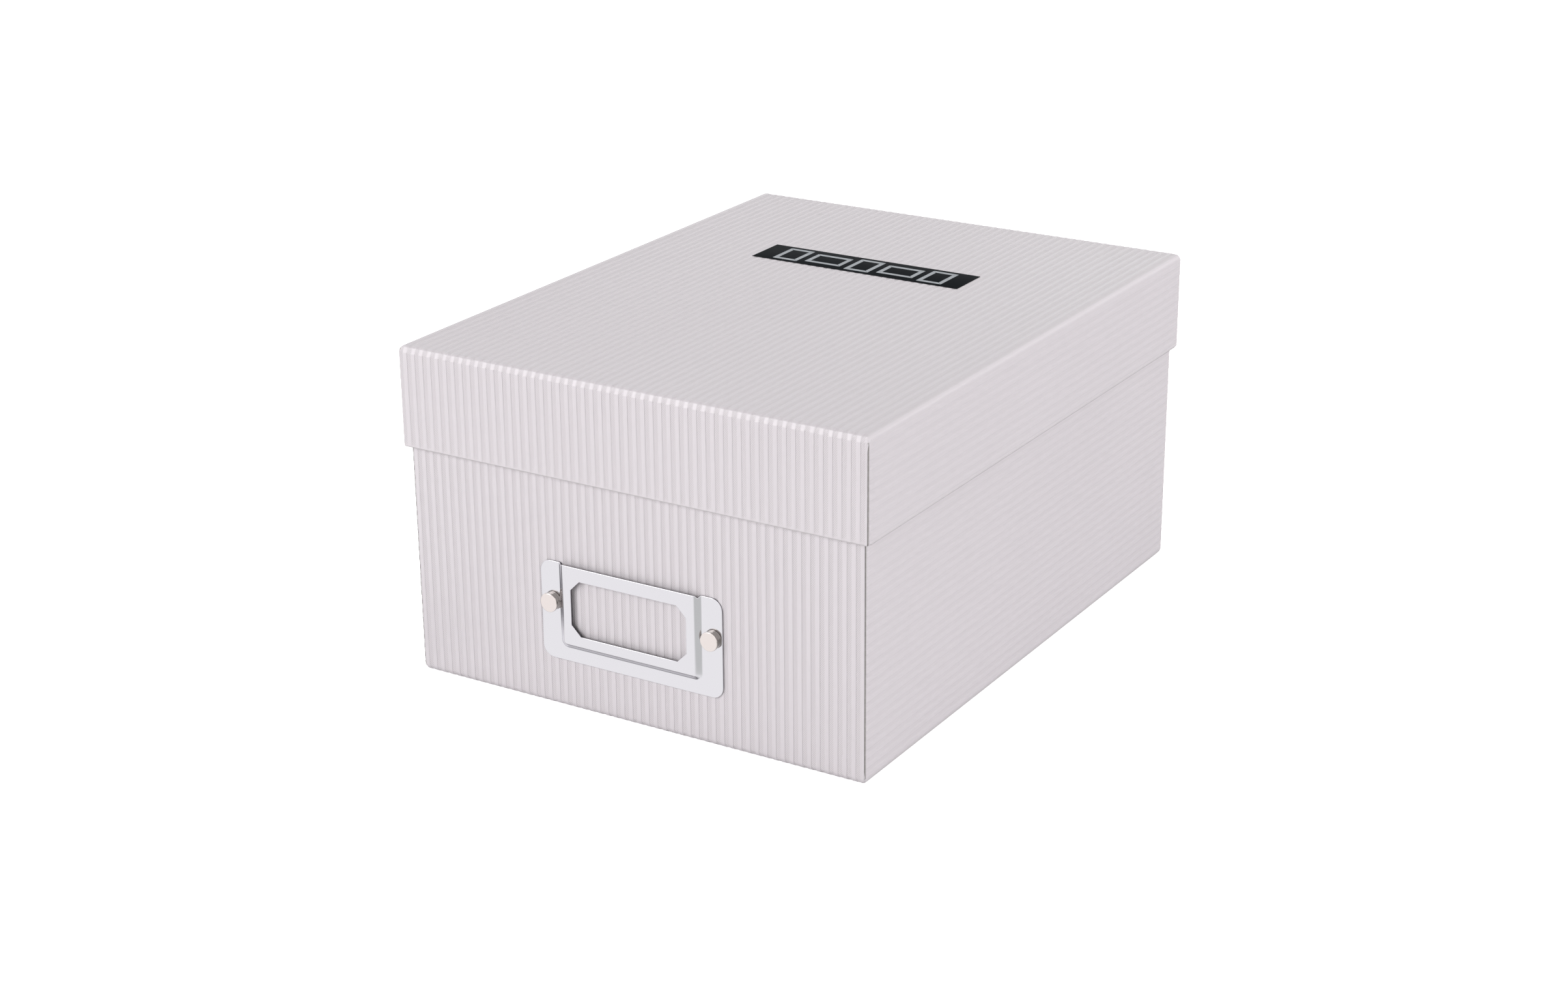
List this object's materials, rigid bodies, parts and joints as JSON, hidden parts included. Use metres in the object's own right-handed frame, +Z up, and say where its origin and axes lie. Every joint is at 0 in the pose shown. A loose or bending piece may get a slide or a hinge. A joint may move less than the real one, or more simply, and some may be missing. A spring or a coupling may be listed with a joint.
{
  "type": "photo storage box",
  "caption": "Rigid paper-covered board box for photo prints, with a deep lift-off lid, a pressed metal label holder riveted to its front and a plain dark title strip on its lid.",
  "frame": {"origin": "centre of the underside, on the surface that the box stands on", "axes": "+Z up, -Y out of the front wall that carries the label holder, +X to the right as seen from the front; the box is longest along Y"},
  "size_m": [0.17, 0.2188, 0.1117],
  "materials": {
    "cover_paper": "embossed, pearl white",
    "greyboard": "raw",
    "kraft_tape": "gummed kraft",
    "lining_paper": "uncoated white",
    "chrome_plate": "polished",
    "nickel_plate": "polished",
    "black_label": "satin"
  },
  "bodies": {
    "base": {"base_board": "greyboard", "base_stay_front_left": "kraft_tape", "base_stay_front_right": "kraft_tape", "base_stay_back_left": "kraft_tape", "base_stay_back_right": "kraft_tape", "base_wrap": "cover_paper", "base_lining": "lining_paper", "label_holder": "chrome_plate", "rivet_left": "nickel_plate", "rivet_right": "nickel_plate", "rivet_cap_left": "nickel_plate", "rivet_cap_right": "nickel_plate"},
    "lid": {"lid_board": "greyboard", "lid_stay_front_left": "kraft_tape", "lid_stay_front_right": "kraft_tape", "lid_stay_back_left": "kraft_tape", "lid_stay_back_right": "kraft_tape", "lid_wrap": "cover_paper", "lid_lining": "lining_paper", "title_label": "black_label"}
  },
  "joints": [
    {"name": "lid_lift", "type": "slide", "parent": "base", "child": "lid", "axis": [0, 0, 1], "range_m": [0, 0.15]}
  ]
}
